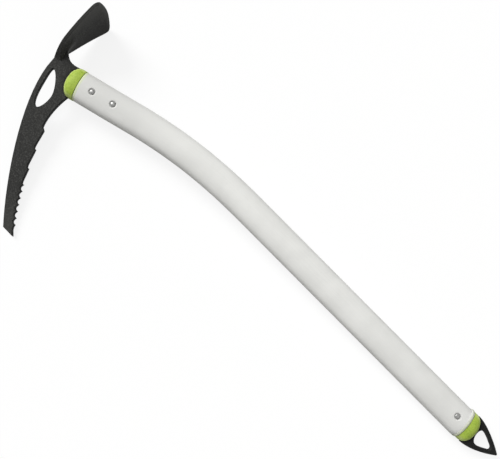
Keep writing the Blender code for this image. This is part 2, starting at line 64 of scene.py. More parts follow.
Colour = tuple[float, float, float]
Point = tuple[float, float, float]
Pair = tuple[float, float]
Material = bpy.types.Material
Mesh = bmesh.types.BMesh
Piece = bpy.types.Object


class Slot(Enum):
    """Names of three material slots."""

    ALUMINIUM = "satin_aluminium"
    PLASTIC = "green_plastic"
    RIVET = "rivet_steel"


class Arc(Enum):
    """The two kinds of arc that make the tube's oval."""

    FACE = "face"
    SIDE = "side"


class Kind(Enum):
    """Node types that the finishes and the world use."""

    ATTRIBUTE = "ShaderNodeAttribute"
    BACKGROUND = "ShaderNodeBackground"
    BEVEL = "ShaderNodeBevel"
    BUMP = "ShaderNodeBump"
    COORDINATES = "ShaderNodeTexCoord"
    DIFFUSE = "ShaderNodeBsdfDiffuse"
    EMISSION = "ShaderNodeEmission"
    GEOMETRY = "ShaderNodeNewGeometry"
    LIGHT_PATH = "ShaderNodeLightPath"
    MAP_RANGE = "ShaderNodeMapRange"
    MATH = "ShaderNodeMath"
    MIX = "ShaderNodeMix"
    MIX_SHADER = "ShaderNodeMixShader"
    NOISE = "ShaderNodeTexNoise"
    PRINCIPLED = "ShaderNodeBsdfPrincipled"
    SEPARATE = "ShaderNodeSeparateXYZ"
    SURFACE_OUTPUT = "ShaderNodeOutputMaterial"
    VECTOR_MATH = "ShaderNodeVectorMath"
    WORLD_OUTPUT = "ShaderNodeOutputWorld"


# Shader maths


@dataclass(frozen=True)
class Grain:
    """A noise in a finish, and how much it moves the finish's tone, roughness and relief."""

    scale: float
    layers: float = 2.0
    finer: float = 0.6
    tone: float = 0.0
    rough: float = 0.0
    relief: float = 0.0


class Value:
    """A node's output that takes part in Python expressions, each of which adds a Math node."""

    def __init__(self, graph: Graph, socket: bpy.types.NodeSocket | None) -> None:
        """Wraps one output socket of a graph."""
        self.graph = graph
        self.socket = socket

    def _math(self, operation: str, first: Value | float, second: Value | float) -> Value:
        """Adds a Math node of two operands."""
        return self.graph.node(Kind.MATH, {"operation": operation}, {0: first, 1: second})

    def __add__(self, other: Value | float) -> Value:
        """The sum."""
        return self._math("ADD", self, other)

    __radd__ = __add__

    def __mul__(self, other: Value | float) -> Value:
        """The product."""
        return self._math("MULTIPLY", self, other)

    __rmul__ = __mul__

    def __sub__(self, other: Value | float) -> Value:
        """This less the other."""
        return self._math("SUBTRACT", self, other)

    def __rsub__(self, other: float) -> Value:
        """The other less this."""
        return self._math("SUBTRACT", other, self)

    def at_least(self, other: Value | float) -> Value:
        """The larger of the two."""
        return self._math("MAXIMUM", self, other)

    def between(self, low: float, high: float) -> Value:
        """How far this is from low to high, from 0 to 1, eased at both ends."""
        settings = {"interpolation_type": "SMOOTHSTEP", "clamp": True}
        return self.graph.node(Kind.MAP_RANGE, settings, {"Value": self, "From Min": low, "From Max": high})


class Graph:
    """A node tree that was emptied, and the one way to add nodes to it."""

    def __init__(self, tree: bpy.types.NodeTree) -> None:
        """Empties the tree."""
        self.tree = tree
        tree.nodes.clear()

    def node(
        self,
        kind: Kind,
        settings: dict[str, Any] | None = None,
        sockets: dict[str | int, Any] | None = None,
        output: str | int = 0,
    ) -> Value:
        """Adds a node, sets it up, and then fills or links its sockets.

        Args:
            kind: The node's type.
            settings: Its properties.
            sockets: Values or links of its inputs, by name or place.
            output: The output to return, by name or place.

        Returns:
            The node's output.
        """
        made = self.tree.nodes.new(kind.value)
        for name, setting in (settings or {}).items():
            setattr(made, name, setting)
        for name, given in (sockets or {}).items():
            if isinstance(given, Value):
                self.tree.links.new(given.socket, made.inputs[name])
            else:
                made.inputs[name].default_value = given
        return Value(self, made.outputs[output]) if made.outputs else Value(self, None)

    def mix(self, share: Value | float, first: Value | Colour, second: Value | Colour) -> Value:
        """Mixes two colours by the second one's share."""
        first, second = (c if isinstance(c, Value) else (*c, 1.0) for c in (first, second))
        return self.node(Kind.MIX, {"data_type": "RGBA"}, {0: share, 6: first, 7: second}, 2)

    def vector(self, operation: str, first: Value, second: Value | Point, output: str | int = 0) -> Value:
        """Adds a Vector Math node of two vectors."""
        return self.node(Kind.VECTOR_MATH, {"operation": operation}, {0: first, 1: second}, output)

    def along(self, place: Value, way: Value | Point) -> Value:
        """How far a place lies along a way."""
        return self.vector("DOT_PRODUCT", place, way, "Value")

    def part(self, place: Value, axis: str) -> Value:
        """One of a place's three parts."""
        return self.node(Kind.SEPARATE, {}, {"Vector": place}, axis)

    def noise(self, place: Value, grain: Grain) -> Value:
        """Adds a grain's noise, from 0 to 1, read at a place."""
        sizes = {"Scale": grain.scale, "Detail": grain.layers, "Roughness": grain.finer}
        return self.node(Kind.NOISE, {}, {"Vector": place, **sizes})

    @staticmethod
    def vary(base: float, *terms: tuple[Value, float]) -> Value:
        """A level that noises move up and down.

        Args:
            base: The level in the middle.
            terms: Each noise, from 0 to 1, and how far it moves the level.

        Returns:
            The level.
        """
        level = base
        for noise, amount in terms:
            level = level + (noise - 0.5) * amount
        return level

    def place(self) -> Value:
        """A point's place in the part's frame, in metres."""
        return self.node(Kind.COORDINATES, {}, {}, "Object")

    def bump(self, height: Value, distance: float) -> Value:
        """The normal, bumped by a height for which 1 stands for a distance in metres."""
        return self.node(Kind.BUMP, {}, {"Height": height, "Distance": distance, "Strength": 1.0})

    def edge(self, radius: float) -> Value:
        """Nearness to a sharp outer or inner edge.

        Args:
            radius: How far from the edge it reaches, in metres.

        Returns:
            0 on open faces, rising towards edges.
        """
        soft = self.node(Kind.BEVEL, {"samples": EDGE_SAMPLES}, {"Radius": radius})
        plain = self.node(Kind.GEOMETRY, {}, {}, "Normal")
        return 1.0 - self.along(soft, plain)


# Finishes


@dataclass(frozen=True)
class Finish(ABC):
    """A finish that a piece can take."""

    @abstractmethod
    def paint(self, graph: Graph) -> Value:
        """Adds this finish's nodes to a material's empty graph, and gives the shader."""

    def material(self, name: str) -> Material:
        """Makes the material.

        Args:
            name: The material's name.

        Returns:
            The material, with this finish's nodes.
        """
        made = bpy.data.materials.new(name)
        made.use_nodes = True
        graph = Graph(made.node_tree)
        graph.node(Kind.SURFACE_OUTPUT, {}, {"Surface": self.paint(graph)})
        return made


@dataclass(frozen=True)
class SatinAluminium(Finish):
    """Drawn tube, blasted and anodised: faint draw lines, fine grain and soft mottling, painted shade near
    the head, on the foot's lip and in the rivet seats, a darker tone towards the foot, and a painted green
    reflection of the collar at the head end.
    """

    length: float
    colour: Colour = (0.82, 0.82, 0.792)
    shaded: Colour = (0.76, 0.76, 0.733)
    shade_span: Pair = (0.38, 0.62)
    metallic: float = 0.14
    roughness: float = 0.66
    specular: float = 0.08
    edge_tint: float = 0.25
    grain: Grain = Grain(1900.0, tone=0.20, relief=0.6)
    grain_height: float = 0.00002
    lines: Grain = Grain(1.0, tone=0.25, rough=0.10, relief=0.4)
    line_scale: Point = (7.0, 2200.0, 2200.0)
    mottle: Grain = Grain(38.0, layers=4.0, finer=0.55, tone=0.55, rough=0.12)
    # Painted shade: a grey olive tone over the rolled lip at the foot, standing in for its shade line and
    # damping its highlight.
    lip: Colour = (0.50, 0.52, 0.415)
    lip_shade_span: Pair = (0.0021, 0.0031)
    # Painted reflection: the collar's pale green painted onto the last few millimetres of the tube at the
    # head.
    collar_reflection_green: Colour = (0.64, 0.69, 0.48)
    collar_reflection_span: Pair = (0.0034, 0.0012)
    # Painted shade: the dished rivet seats darken with their depth, standing in for the shade in them.
    film_and_shade: Colour = (0.30, 0.30, 0.29)
    seat_shade_share: float = 0.85
    # Painted shade: this darker tone, over a stretch near the head and kept off the pick's side, evens out
    # the light along the tube; towards the foot the tube also runs darker in it.
    darker_tone: Colour = (0.66, 0.66, 0.637)
    head_shade_span: Pair = (0.36, 0.50)
    head_shade_side: Pair = (-0.013, 0.001)
    foot_span: Pair = (0.16, 0.02)
    foot_share: float = 0.35

    def paint(self, graph: Graph) -> Value:
        """Adds the grain, draw lines and mottling, the painted shade near the head and the darker tone
        towards the foot, the painted shade on the lip, the painted green reflection at the head end and the
        painted shade in the seats.

        Args:
            graph: The material's empty graph.

        Returns:
            The shader.
        """
        place = graph.place()
        run = graph.node(Kind.ATTRIBUTE, {"attribute_name": "run"}, {}, "Vector")
        grain = graph.noise(place, self.grain)
        lines = graph.noise(graph.vector("MULTIPLY", run, self.line_scale), self.lines)
        mottle = graph.noise(place, self.mottle)
        shade = mottle * self.mottle.tone + lines * self.lines.tone + grain * self.grain.tone
        colour = graph.mix(shade.between(*self.shade_span), self.shaded, self.colour)
        from_foot, side = (graph.part(run, axis) for axis in "XY")
        # Painted shade near the head, evening out the light along the tube, and a darker tone towards the
        # foot.
        painted_head_shade = from_foot.between(*self.head_shade_span) * side.between(*self.head_shade_side)
        darker_to_foot = from_foot.between(*self.foot_span) * self.foot_share
        colour = graph.mix(painted_head_shade + darker_to_foot, colour, self.darker_tone)
        # Painted shade over the rolled lip at the foot.
        colour = graph.mix(from_foot.between(*self.lip_shade_span), self.lip, colour)
        # Painted pale green reflection of the collar on the tube's head end.
        colour = graph.mix((self.length - from_foot).between(*self.collar_reflection_span), colour, self.collar_reflection_green)
        # Painted shade in the rivet seats, by their depth.
        seat = graph.node(Kind.ATTRIBUTE, {"attribute_name": "seat"}, {}, "Fac")
        colour = graph.mix(seat * self.seat_shade_share, colour, self.film_and_shade)
        relief = grain * self.grain.relief + lines * self.lines.relief
        return graph.node(Kind.PRINCIPLED, {}, {
            "Base Color": colour,
            "Metallic": self.metallic,
            "Roughness": graph.vary(self.roughness, (mottle, self.mottle.rough), (lines, self.lines.rough)),
            "Specular IOR Level": self.specular,
            "Specular Tint": (self.edge_tint, self.edge_tint, self.edge_tint, 1.0),
            "Normal": graph.bump(relief, self.grain_height),
        })


@dataclass(frozen=True)
class BlackSteel(Finish):
    """Forged steel under a thinly laid black coat: fine speckle, painted light higher up, a paler pick tip,
    painted shade on wall faces, edges, the lower adze and round the collar, and rubbed edges.
    """

    plate_way: Point
    # Painted shade: a dark patch on the steel round the collar's spot, standing in for the contact shade
    # where collar and plate meet.
    collar_spot: Point
    contact_shade_span: Pair = (0.0205, 0.0160)
    contact_shade_share: float = 0.65
    colour: Colour = (0.024, 0.024, 0.0225)
    speckle: Colour = (0.066, 0.066, 0.062)
    specks: Grain = Grain(650.0, finer=0.65, rough=0.14, relief=0.35)
    speckle_span: Pair = (0.40, 0.78)
    # Painted shade: the dark colour of all the shade painted on the steel.
    shade_black: Colour = (0.006, 0.006, 0.006)
    roughness: float = 0.62
    specular: float = 0.12
    forge: Grain = Grain(140.0, layers=4.0, finer=0.55, rough=0.16, relief=0.65)
    coat_height: float = 0.00004
    # Painted shade: the coat goes dark towards sharp edges; the rubbed wear uses the same edge mask.
    edge_radius: float = 0.0010
    edge_span: Pair = (0.02, 0.20)
    edge_shade_share: float = 0.85
    rubbed: Colour = (0.105, 0.105, 0.102)
    rubbed_share: float = 0.5
    rubbed_gloss: float = 0.10
    patches: Grain = Grain(210.0, layers=3.0)
    patch_shift: Point = (0.31, 0.17, 0.05)
    patch_span: Pair = (0.55, 0.75)
    # Painted light: the coat turns paler higher up, lighting the adze's upper part, and is also paler near
    # the pick's tip.
    paler: Colour = (0.076, 0.076, 0.070)
    painted_light_heights: Pair = (0.026, 0.054)
    paler_share: float = 0.75
    pick_spot: Point = (-0.2094, -0.1092, 0.0)
    pick_reach: float = 0.040
    pick_share: float = 0.5
    ground_spot: Point = (-0.2920, 0.1115, 0.0)
    ground_reach: float = 0.009
    # Painted shade: off the adze, faces that turn away from the plate's way (the cut sides and chamfers) go
    # dark; on the adze its edge faces, square to that way, go partly dark.
    flat_span: Pair = (0.40, 0.90)
    wall_shade_share: float = 0.85
    adze_side: Pair = (0.041, 0.049)
    adze_edge_shade: float = 0.6
    # Painted shade: a dark tone low down on the adze, where its underside lies in shade.
    adze_shade_side: Pair = (0.045, 0.065)
    adze_shade_heights: Pair = (0.030, 0.002)
    adze_shade_share: float = 0.6

    def paint(self, graph: Graph) -> Value:
        """Adds the speckle, the painted light higher up and the paler pick tip, the painted shade on the
        lower adze, wall faces, edges and round the collar, and the rubbed edges.

        Args:
            graph: The material's empty graph.

        Returns:
            The shader.
        """
        place = graph.place()
        specks = graph.noise(place, self.specks)
        forge = graph.noise(place, self.forge)
        patches = graph.noise(graph.vector("ADD", place, self.patch_shift), self.patches)
        coat = graph.mix(specks.between(*self.speckle_span), self.colour, self.speckle)
        side, height = (graph.part(place, axis) for axis in "YZ")
        # Painted light: paler higher up on the adze; also paler near the pick's tip.
        tip = self.near(graph, place, self.pick_spot, self.pick_reach) * self.pick_share
        paler = height.between(*self.painted_light_heights).at_least(tip)
        coat = graph.mix(paler * self.paler_share, coat, self.paler)
        # Painted shade low down on the adze.
        painted_adze_shade = side.between(*self.adze_shade_side) * height.between(*self.adze_shade_heights)
        coat = graph.mix(painted_adze_shade * self.adze_shade_share, coat, self.shade_black)
        # Painted shade on the cut sides and chamfers, and partly on the adze's edge faces.
        facing = graph.along(graph.node(Kind.GEOMETRY, {}, {}, "True Normal"), self.plate_way)
        flat = (facing * facing).between(*self.flat_span)
        adze = side.between(*self.adze_side)
        painted_wall_shade = (1.0 - flat) * (1.0 - adze) + flat * adze * self.adze_edge_shade
        coat = graph.mix(painted_wall_shade * self.wall_shade_share, coat, self.shade_black)
        # Painted contact shade on the steel next to the collar.
        painted_contact_shade = self.away(graph, place, self.collar_spot).between(*self.contact_shade_span)
        coat = graph.mix(painted_contact_shade * self.contact_shade_share, coat, self.shade_black)
        # Painted shade towards sharp edges.
        edge = graph.edge(self.edge_radius).between(*self.edge_span)
        coat = graph.mix(edge * self.edge_shade_share, coat, self.shade_black)
        ground = edge * self.near(graph, place, self.ground_spot, self.ground_reach)
        rub = (edge * patches.between(*self.patch_span) * self.rubbed_share).at_least(ground)
        rough = graph.vary(self.roughness, (forge, self.forge.rough), (specks, self.specks.rough))
        relief = specks * self.specks.relief + forge * self.forge.relief
        return graph.node(Kind.PRINCIPLED, {}, {
            "Base Color": graph.mix(rub, coat, self.rubbed),
            "Roughness": rough - rub * self.rubbed_gloss,
            "Specular IOR Level": self.specular,
            "Normal": graph.bump(relief, self.coat_height),
        })

    @staticmethod
    def away(graph: Graph, place: Value, spot: Point) -> Value:
        """Distance from a spot on the floor, seen from above."""
        level = graph.vector("MULTIPLY", place, (1.0, 1.0, 0.0))
        return graph.vector("DISTANCE", level, spot, "Value")

    def near(self, graph: Graph, place: Value, spot: Point, reach: float) -> Value:
        """Nearness to a spot on the floor: 1 at the spot, and 0 from the reach outwards."""
        return (reach - self.away(graph, place, spot)).between(0.0, reach)


@dataclass(frozen=True)
class GreenPlastic(Finish):
    """Moulded plastic: fine spark grain, faint flow shading and a painted pale sheen along the plate."""

    plate_way: Point
    plate_level: float
    colour: Colour = (0.395, 0.525, 0.076)
    deep: Colour = (0.255, 0.385, 0.040)
    deep_span: Pair = (0.30, 0.56)
    roughness: float = 0.58
    specular: float = 0.2
    grain: Grain = Grain(850.0, tone=0.55, rough=0.16)
    grain_height: float = 0.00005
    flow: Grain = Grain(120.0, layers=3.0, finer=0.5, tone=0.45, rough=0.08)
    # Painted highlight: a pale sheen on the dome where it meets the plate, standing in for its bright rim.
    rim: Colour = (0.530, 0.640, 0.200)
    rim_sheen_span: Pair = (0.0076, 0.0056)
    rim_sheen_share: float = 0.9

    def paint(self, graph: Graph) -> Value:
        """Adds the mould's grain, the plastic's flow shading and the painted pale sheen along the plate.

        Args:
            graph: The material's empty graph.

        Returns:
            The shader.
        """
        place = graph.place()
        grain = graph.noise(place, self.grain)
        flow = graph.noise(place, self.flow)
        shade = flow * self.flow.tone + grain * self.grain.tone
        colour = graph.mix(shade.between(*self.deep_span), self.deep, self.colour)
        # Painted highlight: paler close to the plate's middle plane.
        over_plate = graph.along(place, self.plate_way) - self.plate_level
        off_plate = over_plate.at_least(-1.0 * over_plate)
        return graph.node(Kind.PRINCIPLED, {}, {
            "Base Color": graph.mix(off_plate.between(*self.rim_sheen_span) * self.rim_sheen_share, colour, self.rim),
            "Roughness": graph.vary(self.roughness, (grain, self.grain.rough), (flow, self.flow.rough)),
            "Specular IOR Level": self.specular,
            "Normal": graph.bump(grain, self.grain_height),
        })


@dataclass(frozen=True)
class RivetSteel(Finish):
    """Bright steel, set by a tool: faint hammer marks, fine grain and a grey film in the hollows."""

    colour: Colour = (0.43, 0.43, 0.42)
    film_and_shade: Colour = (0.31, 0.31, 0.30)
    film_span: Pair = (0.36, 0.60)
    metallic: float = 0.55
    roughness: float = 0.40
    marks: Grain = Grain(900.0, finer=0.5, rough=0.16, relief=0.7)
    mark_height: float = 0.00004
    grain: Grain = Grain(4200.0, rough=0.10, relief=0.3)

    def paint(self, graph: Graph) -> Value:
        """Adds the tool's marks and the grey film.

        Args:
            graph: The material's empty graph.

        Returns:
            The shader.
        """
        place = graph.place()
        marks = graph.noise(place, self.marks)
        grain = graph.noise(place, self.grain)
        relief = marks * self.marks.relief + grain * self.grain.relief
        return graph.node(Kind.PRINCIPLED, {}, {
            "Base Color": graph.mix(relief.between(*self.film_span), self.film_and_shade, self.colour),
            "Metallic": self.metallic,
            "Roughness": graph.vary(self.roughness, (marks, self.marks.rough), (grain, self.grain.rough)),
            "Normal": graph.bump(relief, self.mark_height),
        })


@dataclass(frozen=True)
class PaperFloor(Finish):
    """White paper that the camera and reflections see near white, with the object's shadow kept."""

    colour: Colour = (0.45, 0.45, 0.447)
    seen: Colour = (0.98, 0.98, 0.975)
    white_share: float = 0.85

    def paint(self, graph: Graph) -> Value:
        """Adds the paper and the white that the camera and reflections see.

        Args:
            graph: The material's empty graph.

        Returns:
            The shader.
        """
        seen = seen_rays(graph)
        paper = graph.node(Kind.DIFFUSE, {}, {"Color": graph.mix(seen, self.colour, self.seen)})
        white = graph.node(Kind.EMISSION, {}, {"Color": (1.0, 1.0, 1.0, 1.0), "Strength": 1.0})
        return graph.node(Kind.MIX_SHADER, {}, {0: seen * self.white_share, 1: paper, 2: white})


def seen_rays(graph: Graph) -> Value:
    """Tells rays that show a surface from rays that light one.

    Args:
        graph: The graph to add the nodes to.

    Returns:
        1 for camera, glossy and transmission rays, and 0 for the rest.
    """
    rays = [graph.node(Kind.LIGHT_PATH, {}, {}, name) for name in (
        "Is Camera Ray", "Is Glossy Ray", "Is Transmission Ray",
    )]
    return rays[0].at_least(rays[1]).at_least(rays[2])


# Meshes


def add_piece(name: str, bm: Mesh, place: Matrix) -> Piece:
    """Makes an object of a mesh, shaded smooth except at its sharp edges.

    Args:
        name: The object's name.
        bm: The mesh, in a frame of its own, which is freed.
        place: That frame in the part's frame.

    Returns:
        The object, with its place in its vertices.
    """
    bmesh.ops.recalc_face_normals(bm, faces=bm.faces)
    bm.transform(place)
    mesh = bpy.data.meshes.new(name)
    bm.to_mesh(mesh)
    bm.free()
    mesh.shade_smooth()
    mesh.set_sharp_from_angle(angle=SHARP_ANGLE)
    obj = bpy.data.objects.new(name, mesh)
    bpy.context.scene.collection.objects.link(obj)
    return obj


def loft(rings: Sequence[Sequence[Point]]) -> Mesh:
    """A closed body through rings of as many points each.

    Args:
        rings: The rings, from one capped end to the other.

    Returns:
        The mesh.
    """
    bm = bmesh.new()
    loops = [[bm.verts.new(point) for point in ring] for ring in rings]
    for lower, upper in zip(loops, loops[1:]):
        for i in range(len(lower)):
            j = (i + 1) % len(lower)
            bm.faces.new((lower[i], lower[j], upper[j], upper[i]))
    bm.faces.new(loops[0][::-1])
    bm.faces.new(loops[-1])
    return bm


def prism(outline: Sequence[Pair], half: float) -> Mesh:
    """A straight body over an outline in X and Y, with half its thickness on either side of it."""
    return loft([[(x, y, z) for x, y in outline] for z in (-half, half)])


def turned(profile: Sequence[Pair], count: int) -> Mesh:
    """A body turned round Z over the (radius, height) points of its outer side, closed at both ends."""
    turns = [2 * math.pi * i / count for i in range(count)]
    return loft([[(r * math.cos(a), r * math.sin(a), z) for a in turns] for r, z in profile])


def cut(obj: Piece, cutters: Sequence[Piece]) -> None:
    """Takes cutters out of a piece for good, and removes them.

    Args:
        obj: The piece.
        cutters: The bodies to take away.
    """
    for cutter in cutters:
        modifier = obj.modifiers.new(cutter.name, "BOOLEAN")
        modifier.operation = "DIFFERENCE"
        modifier.solver = "EXACT"
        modifier.object = cutter
    bpy.context.view_layer.update()
    graph = bpy.context.evaluated_depsgraph_get()
    mesh = bpy.data.meshes.new_from_object(obj.evaluated_get(graph))
    obj.modifiers.clear()
    obj.data = mesh
    mesh.shade_smooth()
    mesh.set_sharp_from_angle(angle=SHARP_ANGLE)
    for cutter in cutters:
        bpy.data.objects.remove(cutter, do_unlink=True)


def dress(obj: Piece, material: Material) -> None:
    """Gives a piece its material and nothing else."""
    obj.data.materials.clear()
    obj.data.materials.append(material)


def stand_in(obj: Piece, node: str, material: Material) -> Piece:
    """Dresses a new piece and puts it in a CAD node's place.

    Args:
        obj: The piece.
        node: The node that it stands for.
        material: The piece's material.

    Returns:
        The piece.
    """
    dress(obj, material)
    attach(obj, BODY)
    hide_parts(node)
    return obj


@dataclass(frozen=True)
class SmoothShading:
    """A modifier that joins a CAD node's split triangles and shades them smooth up to a sharp angle."""

    angle: float = SHARP_ANGLE
    merge: float = TINY

    def group(self) -> bpy.types.NodeTree:
        """Makes the modifier's node group.

        Returns:
            The group.
        """
        tree = bpy.data.node_groups.new("smooth_shading", "GeometryNodeTree")
        tree.interface.new_socket("Geometry", in_out="INPUT", socket_type="NodeSocketGeometry")
        tree.interface.new_socket("Geometry", in_out="OUTPUT", socket_type="NodeSocketGeometry")
        new, link = tree.nodes.new, tree.links.new
        start, end = new("NodeGroupInput"), new("NodeGroupOutput")
        plain = new("GeometryNodeRemoveAttribute")
        plain.inputs["Name"].default_value = "custom_normal"
        joined = new("GeometryNodeMergeByDistance")
        joined.inputs["Distance"].default_value = self.merge
        smooth = new("GeometryNodeSetShadeSmooth")
        smooth.domain = "FACE"
        creased = new("GeometryNodeSetShadeSmooth")
        creased.domain = "EDGE"
        angle = new("GeometryNodeInputMeshEdgeAngle")
        sharp = new("FunctionNodeCompare")
        sharp.operation = "GREATER_THAN"
        sharp.inputs[1].default_value = self.angle
        creased.inputs["Shade Smooth"].default_value = False
        link(start.outputs[0], plain.inputs["Geometry"])
        link(plain.outputs[0], joined.inputs["Geometry"])
        link(joined.outputs[0], smooth.inputs["Geometry"])
        link(smooth.outputs[0], creased.inputs["Geometry"])
        link(angle.outputs["Unsigned Angle"], sharp.inputs[0])
        link(sharp.outputs[0], creased.inputs["Selection"])
        link(creased.outputs[0], end.inputs[0])
        return tree

    def keep(self, node: str, material: Material) -> Piece:
        """Shades and dresses a CAD node that stays.

        Args:
            node: The node's name.
            material: The material that it takes.

        Returns:
            The node's piece.
        """
        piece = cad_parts[node]
        modifier = piece.modifiers.new("smooth_shading", "NODES")
        modifier.node_group = bpy.data.node_groups.get("smooth_shading") or self.group()
        dress(piece, material)
        return piece


# The axe


@dataclass(frozen=True)
class Section:
    """The tube's section: an oval of two broad arcs and two tight ones."""

    width: float = 0.0318
    depth: float = 0.0200
    side_radius: float = 0.0085
    wall: float = 0.0017

    @property
    def face_radius(self) -> float:
        """Radius of the broad arcs, tangent to the side arcs."""
        half, deep, side = self.width / 2, self.depth / 2, self.side_radius
        return ((half - side) ** 2 + deep**2 - side**2) / (2 * (deep - side))

    @property
    def lean(self) -> float:
        """Half the angle of a broad arc."""
        return math.atan2(self.width / 2 - self.side_radius, self.face_radius - self.depth / 2)

    def on_face(self, angle: float, inset: float) -> Pair:
        """Side and height on the upper broad arc, by the angle from its middle towards the adze."""
        radius = self.face_radius - inset
        return radius * math.sin(angle), self.depth / 2 - self.face_radius + radius * math.cos(angle)

    def on_side(self, angle: float, inset: float) -> Pair:
        """Side and height on the arc towards the adze, by the angle upwards from its middle."""
        radius = self.side_radius - inset
        return self.width / 2 - self.side_radius + radius * math.cos(angle), radius * math.sin(angle)

    def face_height(self, side: float, inset: float) -> float:
        """Height of the upper broad arc over the tube's middle, at a distance to the side."""
        radius = self.face_radius - inset
        return self.depth / 2 - self.face_radius + math.sqrt(radius**2 - side**2)

    def ring(self, inset: float, count: int) -> list[Pair]:
        """Points round the oval.

        Args:
            inset: How far inside the outer oval they are.
            count: The points on each of the four arcs.

        Returns:
            Their sides and heights, in order.
        """
        half_side = math.pi / 2 - self.lean
        points = [self.on_side(half_side * (2 * i / count - 1), inset) for i in range(count)]
        points += [self.on_face(self.lean * (1 - 2 * i / count), inset) for i in range(count)]
        return points + [(-y, -z) for y, z in points]

    def bore_half_width(self, z: float) -> float:
        """Half the width of the bore at a height from the middle."""
        return self.width / 2 - self.side_radius + math.sqrt((self.side_radius - self.wall) ** 2 - z * z)


@dataclass(frozen=True)
class Layout:
    """Where the axe lies: its shaft's frame, the shaft's line and the head's frame."""

    origin: Point = (0.2538179, 0.0757631, 0.0106625)
    along: Point = (0.9996476, 0.0014392, -0.0265030)
    across: Point = (0.0014392, 0.9941211, 0.1082646)
    lower_straight: float = 0.3038
    upper_straight: float = 0.070
    bend_radius: float = 0.575
    bend_angle: float = math.radians(14.2)
    foot_slant: float = 0.11
    foot_square: float = 0.0070
    bow: Sequence[Pair] = (
        (0.0, -0.0003), (0.0024, -0.0003), (0.0032, -0.00105), (0.1500, -0.00105), (0.3200, -0.0009),
        (0.3850, 0.0), (0.4450, 0.0003), (0.4800, 0.0),
    )

    @property
    def shaft(self) -> Matrix:
        """The shaft's frame.

        Returns:
            The frame, in the part's frame.
        """
        along, across = Vector(self.along).normalized(), Vector(self.across)
        up = along.cross(across).normalized()
        turn = Matrix((along, up.cross(along), up)).transposed()
        return Matrix.Translation(self.origin) @ turn.to_4x4()

    @property
    def up(self) -> Point:
        """The way square to the pick's plane."""
        return tuple(self.shaft.to_3x3().col[2])

    @property
    def level(self) -> float:
        """How far the pick's middle plane lies along that way."""
        return Vector(self.up).dot(Vector(self.origin))

    @staticmethod
    def under(end: Matrix) -> Point:
        """The spot on the floor under the origin of a frame."""
        return end.translation.x, end.translation.y, 0.0

    @property
    def length(self) -> float:
        """The tube's length along its line."""
        return self.lower_straight + self.bend_radius * self.bend_angle + self.upper_straight

    def station(self, run: float) -> Matrix:
        """The tube's frame at a distance from its foot.

        Args:
            run: The distance along the tube's line.

        Returns:
            A frame on the shaft with X towards the foot and Y towards the adze.
        """
        arc = self.bend_radius * self.bend_angle
        turn = min(max(run - self.lower_straight, 0.0), arc) / self.bend_radius
        start = Vector((-min(run, self.lower_straight), 0.0, 0.0))
        start += self.bend_radius * Vector((-math.sin(turn), math.cos(turn) - 1.0, 0.0))
        on = max(run - self.lower_straight - arc, 0.0)
        frame_there = Matrix.Rotation(turn, 4, "Z")
        return Matrix.Translation(start) @ frame_there @ Matrix.Translation((-on, 0.0, 0.0))

    def bowed(self, run: float) -> float:
        """How far the drawn tube stands off its true line.

        Args:
            run: The distance along the tube's line.

        Returns:
            The distance towards the adze.
        """
        for (start, low), (end, high) in zip(self.bow, self.bow[1:]):
            if run < end:
                return low + (high - low) * max(run - start, 0.0) / (end - start)
        return self.bow[-1][1]

    def drawn_back(self, run: float, side: float, square_from: float) -> float:
        """How far the foot's slant draws a point back from the spike, less and less up to foot_square."""
        fade = (self.foot_square - run) / (self.foot_square - square_from)
        return self.foot_slant * side * min(max(fade, 0.0), 1.0)

    @property
    def head(self) -> Matrix:
        """The head's frame in the part's frame."""
        flip = Matrix.Rotation(math.pi, 4, "Y")
        return self.shaft @ self.station(self.length) @ flip


@dataclass(frozen=True)
class Rivet:
    """A set rivet: a low dome at each end, in a dished seat."""

    shank: float = 0.0044
    head: float = 0.0053
    dome: float = 0.0012
    flat_share: float = 0.35
    seat_depth: float = 0.0009
    steps: int = 8
    count: int = 40

    def build(self, name: str, section: Section, place: Matrix) -> Piece:
        """Makes the rivet right through the tube.

        Args:
            name: The piece's name.
            section: The tube's section.
            place: The frame of the rivet's middle, with Z along it.

        Returns:
            The piece.
        """
        floor = section.depth / 2 - self.seat_depth + FIT_GAP / 3
        half = self.head / 2
        dome = []
        for i in range(self.steps):
            angle = math.pi / 2 * (1 - (i + self.flat_share) / (self.steps - 1 + self.flat_share))
            dome.append((half * math.cos(angle), floor + self.dome * math.sin(max(angle, 0.0))))
        upper = dome + [(half - FIT_GAP / 3, floor), (self.shank / 2, floor)]
        lower = [(radius, -height) for radius, height in reversed(upper)]
        return add_piece(name, turned(upper + lower, self.count), place)


Ring = tuple[float, float, int]
Column = tuple[Arc, float, float, int]
Corner = tuple[int, int]
Skin = dict[Corner, bmesh.types.BMVert]


